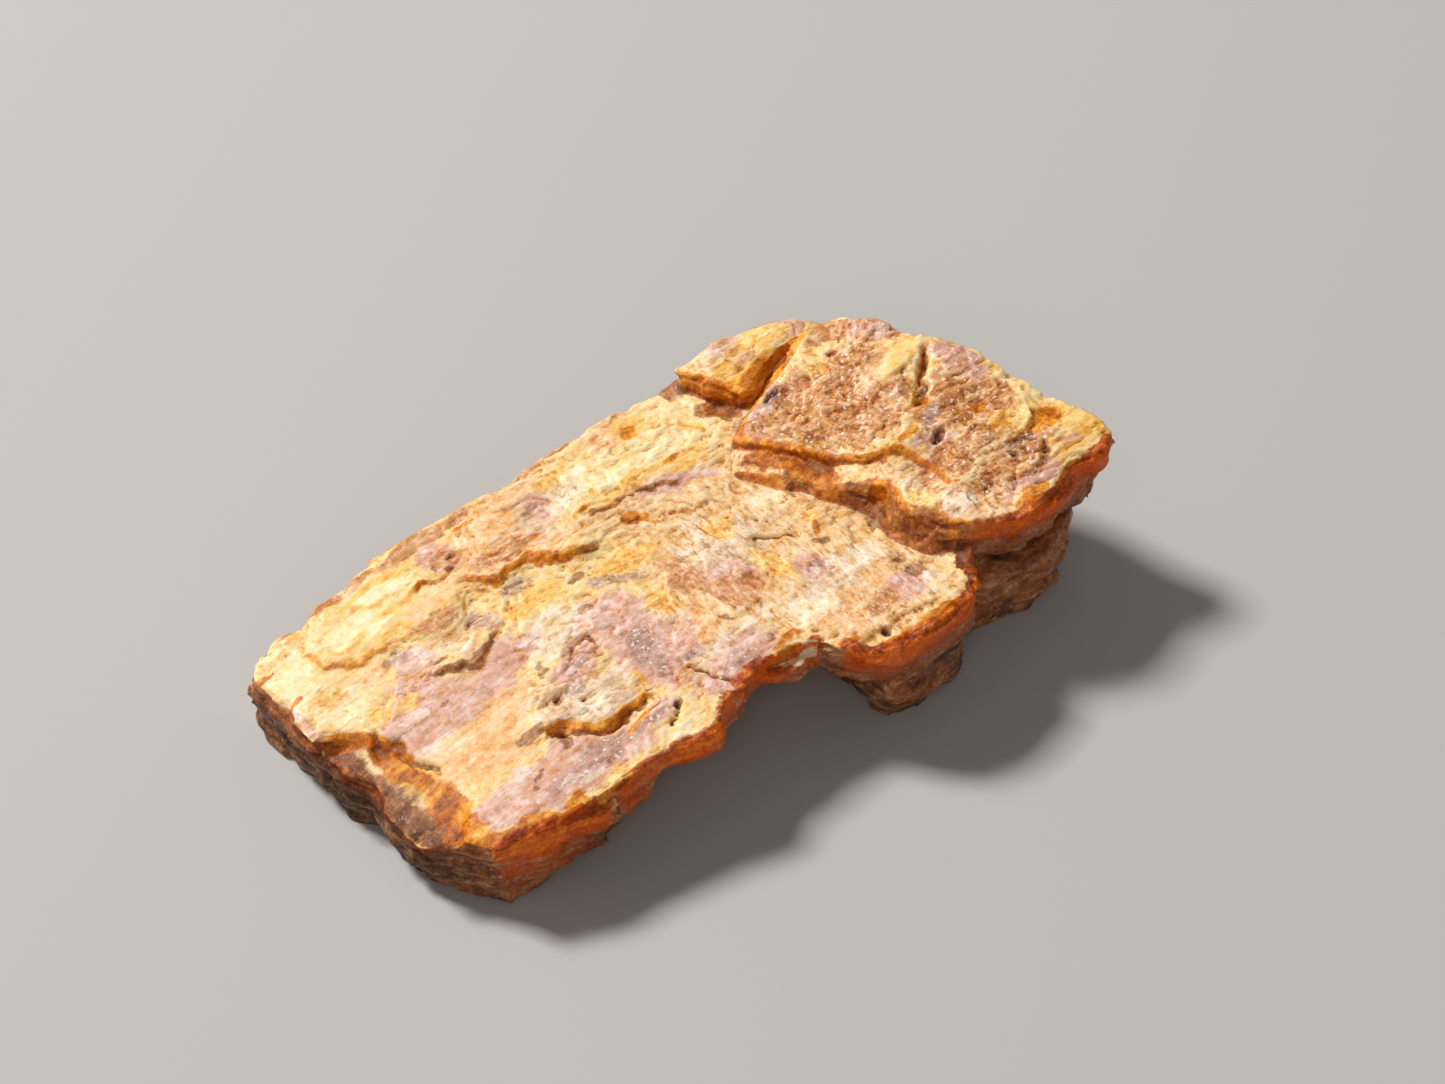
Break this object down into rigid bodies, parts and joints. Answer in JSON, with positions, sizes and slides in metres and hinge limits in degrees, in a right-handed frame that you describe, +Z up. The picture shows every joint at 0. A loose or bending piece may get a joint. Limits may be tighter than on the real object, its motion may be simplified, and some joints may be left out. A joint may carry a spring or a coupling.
{
  "type": "kyanite crystal",
  "caption": "Broken bladed crystal of orange kyanite with cleavage ledges and a raised end, lying on a flat cleavage facet.",
  "frame": {"origin": "on the ground plane, under the middle of the crystal's box", "axes": "+X along the blade towards its raised end, +Y across it towards the back strip, +Z up, away from the facet it rests on"},
  "size_m": [0.0252, 0.0148, 0.0059],
  "materials": {
    "orange_kyanite": "pearly cream to orange cleavage with lilac-grey stains, translucent amber broken edges"
  },
  "bodies": {
    "root": {"kyanite_crystal": "orange_kyanite"}
  },
  "joints": []
}
